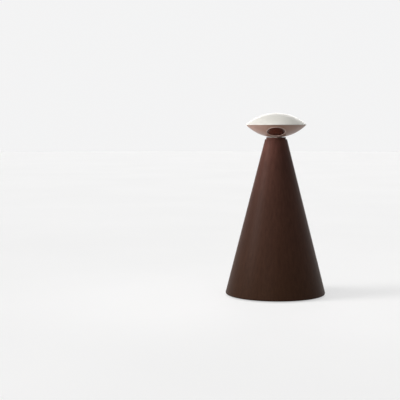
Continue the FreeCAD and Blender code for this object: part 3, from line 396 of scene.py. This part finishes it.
# slot name: maker, colours from 0 to 255 on screen, and the maker's other values
FINISHES = {
    "shell_brown": (brushed_brown, (), {}),
    # the collar's brown is its own, lifted a little: painted light against the shadow the head casts on it
    "collar_dark": (moulded, ((80, 53, 45), (92, 62, 53)), {"rough": (0.42, 0.52), "specular": 0.07}),
    "head_pearl": (lacquered, ((197, 195, 188), (215, 213, 205)),
                   {"rough": (0.34, 0.46), "metallic": 0.1, "coat": 0.15}),
    # the bowl's pearl is the head's pearl made darker and warmer: painted shade with a painted reflection of
    # the brown cone
    "bowl_pearl": (lacquered, ((156, 122, 106), (176, 140, 123)),
                   {"rough": (0.38, 0.50), "metallic": 0.02, "coat": 0.18, "specular": 0.4}),
    "bezel_silver": (moulded, ((186, 162, 150), (200, 176, 164)),
                     {"rough": (0.26, 0.34), "metallic": 0.2, "coat": 0.3}),
    "base_black": (moulded, ((24, 21, 20), (34, 30, 28)),
                   {"rough": (0.5, 0.65), "patch": 80.0, "grain": 1600.0, "depth": 0.0001, "strength": 0.5}),
    "foot_rubber": (moulded, ((20, 19, 19), (32, 31, 30)),
                    {"rough": (0.7, 0.85), "patch": 150.0, "grain": 2200.0, "depth": 0.00008, "strength": 0.5}),
    "steel": (metal, ((150, 150, 152), (186, 186, 188)), {}),
    "spring_steel": (metal, ((170, 168, 164), (200, 198, 192)), {"rough": (0.18, 0.3)}),
    "cell_sleeve": (moulded, ((46, 52, 62), (60, 68, 80)),
                    {"rough": (0.25, 0.35), "patch": 120.0, "grain": 1500.0, "coat": 0.3}),
    "brass": (metal, ((176, 138, 70), (204, 168, 100)), {"stretch": (1, 1, 20)}),
    "board_green": (moulded, ((16, 62, 34), (26, 84, 46)),
                    {"rough": (0.35, 0.5), "patch": 300.0, "grain": 2400.0, "coat": 0.2}),
    "chip_black": (moulded, ((18, 18, 19), (30, 30, 31)),
                   {"rough": (0.5, 0.65), "patch": 200.0, "grain": 3000.0}),
    "cap_sleeve": (moulded, ((22, 24, 50), (34, 38, 70)),
                   {"rough": (0.3, 0.4), "patch": 150.0, "grain": 1500.0}),
    "plug_white": (moulded, ((212, 206, 190), (228, 222, 208)), {"rough": (0.4, 0.5)}),
    "lead_red": (moulded, ((128, 18, 16), (152, 28, 24)),
                 {"rough": (0.45, 0.6), "patch": 300.0, "grain": 1500.0}),
    "button_grey": (moulded, ((150, 142, 134), (166, 158, 150)),
                    {"rough": (0.32, 0.42), "patch": 120.0, "grain": 3000.0}),
    "frame_grey": (moulded, ((132, 132, 129), (150, 150, 147)), {"rough": (0.45, 0.6)}),
    "gear_white": (moulded, ((222, 218, 204), (236, 232, 220)), {"rough": (0.35, 0.5)}),
    "inner_black": (moulded, ((20, 20, 20), (32, 32, 32)), {"rough": (0.5, 0.6)}),
    "mirror_face": (metal, ((222, 224, 226), (236, 238, 240)), {"rough": (0.02, 0.05), "stretch": (1, 1, 1)}),
    "optic": (clear, ((236, 240, 244),), {"rough": 0.01}),
    "led_clear": (clear, ((216, 232, 218),), {"rough": 0.12, "dust": 0.1}),
    "window_smoke": (clear, ((124, 72, 57),), {"rough": 0.05, "dust": 0.05, "through": 0.5, "ior": 1.45}),
}
MATERIALS = {name: make(name, *colours, **other) for name, (make, colours, other) in FINISHES.items()}


def dress(obj, slot_name, body, *nodes):
    """Material, finish slot, body and the CAD nodes that a piece stands for."""
    obj.data.materials.clear()
    obj.data.materials.append(MATERIALS[slot_name])
    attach(obj, body)
    if nodes:
        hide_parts(*nodes)
    return obj


# every CAD node gets the material of its slot
for part in frame["record"]["subparts"]:
    mesh = NODES[part["node"]].data
    mesh.materials.clear()
    mesh.materials.append(MATERIALS[part["material_slot"]])


# ---------------------------------------------------------------- tower
def tower():
    """Smooth cone with a rolled foot rim and openings for the controls, and the collar on top of it."""
    roof = TOP_Z - ROOF
    corners = [(BUSHING_R, TOP_Z, 0), (BUSHING_R, roof, 0), (cone_r(roof) - WALL / math.cos(TILT), roof, 0),
               (REBATE_R, REBATE_TOP, 0), (REBATE_R, RIM_Z, 0.3), (RIM_R, RIM_Z, 1.6),
               (cone_r(TOP_Z), TOP_Z, 0.5)]
    shell = lathe("cone_shell", rounded(corners, steps=8), segments=256)
    openings = [(name, radius + BUTTON_GAP, up) for name, node, radius, up in BUTTONS]
    openings.append(("light", PIPE_R, PIPE_UP))
    tools = []
    for name, radius, up in openings:
        tools.append(lathe("cutter_" + name, plug(radius, -6.0, 4.0), segments=64, place=wall_place(up)))
    dress(cut(shell, tools), "shell_brown", "tower", "tower_shell")
    corners = [(BUSHING_R, TOP_Z, 0), (COLLAR_R, TOP_Z, 0.25), (COLLAR_R, COLLAR_TOP, 0.5),
               (BUSHING_R, COLLAR_TOP, 0.3)]
    dress(lathe("collar", rounded(corners, steps=5), segments=128), "collar_dark", "tower", "neck_collar")


def controls():
    """Round buttons with a stem, a flange inside the wall, and a dished face with a soft edge."""
    stem_r, stem_end = 1.7, -6.4
    flange_wider, flange_low, flange_high = 1.4, -4.6, -3.6
    face, dish, middle = 1.0, 0.75, 0.62
    for name, node, radius, up in BUTTONS:
        flange_r = radius + flange_wider
        corners = [(0, stem_end, 0), (stem_r, stem_end, 0), (stem_r, flange_low, 0), (flange_r, flange_low, 0),
                   (flange_r, flange_high, 0), (radius, flange_high, 0), (radius, face, 0.45),
                   (radius * 0.55, dish, 3.0), (0, middle, 0)]
        obj = lathe(name + "_cap", rounded(corners, steps=6), segments=96, place=wall_place(up))
        dress(obj, "button_grey", node, node)


def light_tip():
    """Clear pipe that carries the status light through the rear wall, with a domed end."""
    dome = [(1.3, 0.3), (0.7, 0.38), (0, 0.4)]
    outline = [(0, -4.8), (PIPE_R, -4.8), (PIPE_R, 0.05)] + dome
    obj = lathe("light_tip", outline, segments=48, place=wall_place(PIPE_UP), sharp=40.0)
    dress(obj, "led_clear", "tower", "light_pipe")


def feet():
    """Rubber pads with a rounded edge and a shallow hollow underneath."""
    pad_r, pad_top = 5.0, 1.4
    hollow, hollow_r, mouth_r = 0.3, 2.6, 3.0
    corners = [(0, hollow, 0), (hollow_r, hollow, 0.1), (mouth_r, 0.0, 0.1), (pad_r, 0.0, 0.4),
               (pad_r, pad_top, 0), (0, pad_top, 0)]
    for i, angle in enumerate(FOOT_ANGLES):
        a = math.radians(angle)
        move = Matrix.Translation((FOOT_CIRCLE * MM * math.cos(a), FOOT_CIRCLE * MM * math.sin(a), 0))
        obj = lathe("foot_%d" % (i + 1), rounded(corners, steps=4), segments=64, place=move)
        dress(obj, "foot_rubber", "tower", "feet")


def recess_arm(long, wide, deep):
    """Tapered bar that cuts one arm of a cross recess into a screw's head; long and wide are half sizes."""
    below, foot_share, end_share = 0.3, 1.15, 0.72
    bm = bmesh.new()
    corners = []
    for z, share in ((SCREW_Z - below, foot_share), (SCREW_Z + deep, end_share)):
        for x, y in ((-long, -wide), (long, -wide), (long, wide), (-long, wide)):
            corners.append(bm.verts.new((x * share * MM, y * share * MM, z * MM)))
    for face in ((0, 1, 2, 3), (4, 5, 6, 7), (0, 1, 5, 4), (1, 2, 6, 5), (2, 3, 7, 6), (3, 0, 4, 7)):
        bm.faces.new([corners[i] for i in face])
    return bm


def screw(name, node, body, place, head_r, head_h, shank_r, tip_z):
    """Screw driven upward: domed head with a tapered cross recess, and a threaded shank."""
    pitch, root_share, tip_share = 0.9, 0.84, 0.3
    plain, point = 0.6, 1.0
    seat = SCREW_Z + head_h
    head_corners = [(0, SCREW_Z, 0), (head_r, SCREW_Z, 0.35), (head_r, seat, 0.1), (shank_r, seat, 0)]
    outline = rounded(head_corners, steps=5)
    z = seat + plain
    while z + pitch < tip_z - point:
        outline += [(shank_r, z), (shank_r * root_share, z + pitch * 0.45), (shank_r, z + pitch * 0.9)]
        z += pitch
    outline += [(shank_r, z), (shank_r * tip_share, tip_z), (0, tip_z)]
    obj = lathe(name, outline, segments=40)
    tools = []
    for turn in (0.0, math.pi / 2):
        bm = recess_arm(head_r * 0.56, 0.3, head_h * 0.62)
        bm.transform(Matrix.Rotation(turn, 4, "Z"))
        tools.append(finish_mesh(name + "_recess", bm))
    cut(obj, tools, 30.0)
    as_driven = Matrix.Rotation(0.4, 4, "Z")
    obj.data.transform(Matrix.Translation((place[0] * MM, place[1] * MM, 0)) @ as_driven)
    dress(obj, "steel", body, node)


def screws():
    """Three screws in the base, and the one that holds the battery door."""
    for i, angle in enumerate(SCREW_ANGLES):
        a = math.radians(angle)
        place = (SCREW_CIRCLE * math.cos(a), SCREW_CIRCLE * math.sin(a))
        screw("base_screw_%d" % (i + 1), "base_screws", "tower", place,
              head_r=2.3, head_h=1.1, shank_r=1.1, tip_z=12.0)
    screw("door_screw_1", "door_screw", "battery_door", DOOR_SCREW_PLACE,
          head_r=2.7, head_h=1.0, shank_r=1.2, tip_z=8.5)


# ---------------------------------------------------------------- head
def head():
    """Pearl dome and bowl that meet at a sharp rim, with the opening for the window in the bowl."""
    rise = HEAD_TOP - DOME_Z
    radius = (HEAD_R ** 2 + rise ** 2) / (2 * rise)
    centre = HEAD_TOP - radius
    thick, curve_end, inner_end, ledge_r = 2.2, 34.28, 32.2, 32.4
    outside = sphere_outline(radius, centre, 0.0, curve_end, 1, 40)
    inside = sphere_outline(radius - thick, centre, 0.0, inner_end, 1, 16)[::-1]
    rim = [(34.44, 195.12), (HEAD_R, 194.98), (34.44, 194.84), (34.3, 194.75), (33.6, SEAM_Z),
           (ledge_r, SEAM_Z)]
    dome = lathe("head_dome", outside + rim + inside, segments=256, sharp=25.0)
    dress(dome, "head_pearl", "head", "head_upper_shell")
    hub_r = math.sqrt(BOWL_R ** 2 - (BOWL_Z - HUB_Z) ** 2)
    seam_r = math.sqrt(BOWL_R ** 2 - (BOWL_Z - SEAM_Z) ** 2)
    thick, floor_r, inner_end = 2.1, 14.0, 31.6
    bore_r, boss_r, boss_top = 5.2, 10.4, 185.0
    outside = sphere_outline(BOWL_R, BOWL_Z, hub_r, seam_r, -1, 40)
    inside = sphere_outline(BOWL_R - thick, BOWL_Z, floor_r, inner_end, -1, 20)[::-1]
    outline = [(bore_r, HUB_Z)] + outside + [(inner_end, SEAM_Z)] + inside[1:]
    outline += [(boss_r, boss_top), (bore_r, boss_top)]
    bowl = lathe("head_bowl", outline, segments=256, sharp=25.0)
    hole = lathe("cutter_window", plug(LIP_R, -6.0, 3.0), segments=128, place=window_place())
    dress(cut(bowl, [hole], 25.0), "bowl_pearl", "head", "head_lower_shell")


def window():
    """Crowned glass and its thin lip with a flange; heights are along the window's own axis."""
    crown, edge, glass_back = 1.5, -1.05, -1.9
    radius = (LENS_R ** 2 + crown ** 2) / (2 * crown)
    front = sphere_outline(radius, crown + edge - radius, 0.0, LENS_R - 0.25, 1, 16)
    side = [(LENS_R - 0.04, -1.12), (LENS_R, -1.3), (LENS_R, glass_back), (0, glass_back)]
    glass = lathe("window_glass", front + side, segments=128, place=window_place())
    dress(glass, "window_smoke", "head", "window_lens")
    flange_r = LIP_R + 0.2
    lip_back, flange_back, lip_front = -2.1, -1.25, -0.5
    corners = [(LENS_R, lip_back, 0), (LIP_R, lip_back, 0), (LIP_R, flange_back, 0), (flange_r, flange_back, 0),
               (flange_r, lip_front, 0.35), (LENS_R, lip_front, 0.35)]
    lip = lathe("window_lip", rounded(corners, steps=6), segments=160, place=window_place())
    dress(lip, "bezel_silver", "head", "window_bezel")


tower()
controls()
light_tip()
feet()
screws()
head()
window()


# ---------------------------------------------------------------- stage, light and camera
def aimed(place, target):
    """Turn that points a lamp from its place to a target."""
    return (Vector(target) - Vector(place)).to_track_quat("-Z", "Y").to_euler()


def lamp(name, kind, energy, colour, turn, place=(0, 0, 0)):
    """Light of a kind, turned and put in its place."""
    data = bpy.data.lights.new(name, kind)
    data.energy = energy
    data.color = colour
    obj = bpy.data.objects.new(name, data)
    obj.location = place
    obj.rotation_euler = turn
    bpy.context.scene.collection.objects.link(obj)
    return obj


def sun(name, place, strength, wide, colour=(1, 1, 1)):
    """Soft light that comes evenly from the direction of a place, out of some degrees of the sky."""
    obj = lamp(name, "SUN", strength, colour, Vector(place).to_track_quat("Z", "Y").to_euler())
    obj.data.angle = math.radians(wide)


def softbox(name, place, target, size, energy, colour):
    """Round softbox whose light stays within 70 degrees."""
    obj = lamp(name, "AREA", energy, colour, aimed(place, target), place)
    obj.data.shape = "DISK"
    obj.data.size = size
    obj.data.spread = math.radians(70.0)


def grid_lamp(name, place, target, beam, energy, colour):
    """Soft lamp behind a grid: a narrow beam of some degrees that fades to its edge and leaves no glint."""
    obj = lamp(name, "SPOT", energy, colour, aimed(place, target), place)
    obj.data.spot_size = math.radians(beam)
    obj.data.spot_blend = 1.0
    obj.data.shadow_soft_size = 0.04
    obj.visible_glossy = False


def floor():
    """Pale disc, which glows a little where it is seen, so that it meets the background evenly."""
    bm = bmesh.new()
    bmesh.ops.create_circle(bm, cap_ends=True, segments=96, radius=6.0)
    disc = finish_mesh("floor", bm)
    mat, nodes, links, bsdf = material("floor_pale")
    slow = noise(nodes, links, scale=3.0, detail=2.0)
    factor = spread(nodes, links, slow, 0.0, 1.0)
    links.new(blend_colour(nodes, links, factor, (0.37, 0.37, 0.37, 1), (0.39, 0.39, 0.39, 1)),
              bsdf.inputs["Base Color"])
    bsdf.inputs["Roughness"].default_value = 0.9
    bsdf.inputs["Specular IOR Level"].default_value = 0.1
    glow = nodes.new("ShaderNodeEmission")
    strength = spread(nodes, links, pale(nodes, links), 0.0, 0.53, from_low=0.0, from_high=1.0)
    links.new(strength, glow.inputs["Strength"])
    both = nodes.new("ShaderNodeAddShader")
    links.new(bsdf.outputs[0], both.inputs[0])
    links.new(glow.outputs[0], both.inputs[1])
    links.new(both.outputs[0], nodes["Material Output"].inputs["Surface"])
    disc.data.materials.append(mat)


def studio():
    """Dim sky light, with a paler background where it is seen."""
    world = bpy.data.worlds.new("studio")
    bpy.context.scene.world = world
    world.use_nodes = True
    nodes, links = world.node_tree.nodes, world.node_tree.links
    lit = nodes["Background"]
    lit.inputs["Color"].default_value = (0.97, 0.98, 1.0, 1)
    lit.inputs["Strength"].default_value = 0.18
    seen = nodes.new("ShaderNodeBackground")
    seen.inputs["Color"].default_value = (0.90, 0.90, 0.903, 1)
    mix = nodes.new("ShaderNodeMixShader")
    links.new(pale(nodes, links), mix.inputs["Fac"])
    links.new(lit.outputs[0], mix.inputs[1])
    links.new(seen.outputs[0], mix.inputs[2])
    links.new(mix.outputs[0], nodes["World Output"].inputs["Surface"])


def lights():
    """Key light from the left, light from above and behind, and small lamps for the head and the neck."""
    head_middle, neck = (0, 0, 0.17), (0, 0, 0.158)
    sun("key", (-1.0, -0.22, 0.85), strength=1.35, wide=24.0, colour=(1.0, 0.985, 0.965))
    sun("top", (-0.05, -0.15, 1.0), strength=1.15, wide=40.0)
    sun("rear", (0.0, 1.0, 0.12), strength=0.8, wide=40.0, colour=(1.0, 0.98, 0.96))
    softbox("near_softbox", (-0.54, -0.18, 0.27), head_middle, size=0.22, energy=0.22, colour=(1.0, 0.96, 0.95))
    softbox("front_softbox", (-0.35, -0.9, 0.22), head_middle, size=0.3, energy=0.16, colour=(1.0, 0.95, 0.93))
    grid_lamp("neck_lamp", (-0.55, -0.24, 0.17), neck, beam=5.8, energy=26.0, colour=(1.0, 0.93, 1.0))


def camera():
    """Camera straight in front of the toy, tipped down, and turned left so that the toy stands at the right."""
    tipped, turned = 4.25, 4.14
    data = bpy.data.cameras.new("camera")
    data.sensor_width = 36.0
    data.lens = 94.4
    data.clip_start = 0.05
    data.clip_end = 30.0
    obj = bpy.data.objects.new("camera", data)
    obj.location = (0.0, -1.2, 0.198)
    obj.rotation_euler = (math.radians(90.0 - tipped), 0.0, math.radians(turned))
    bpy.context.scene.collection.objects.link(obj)
    bpy.context.scene.camera = obj


floor()
studio()
lights()
camera()
bpy.context.scene.view_settings.view_transform = "Standard"
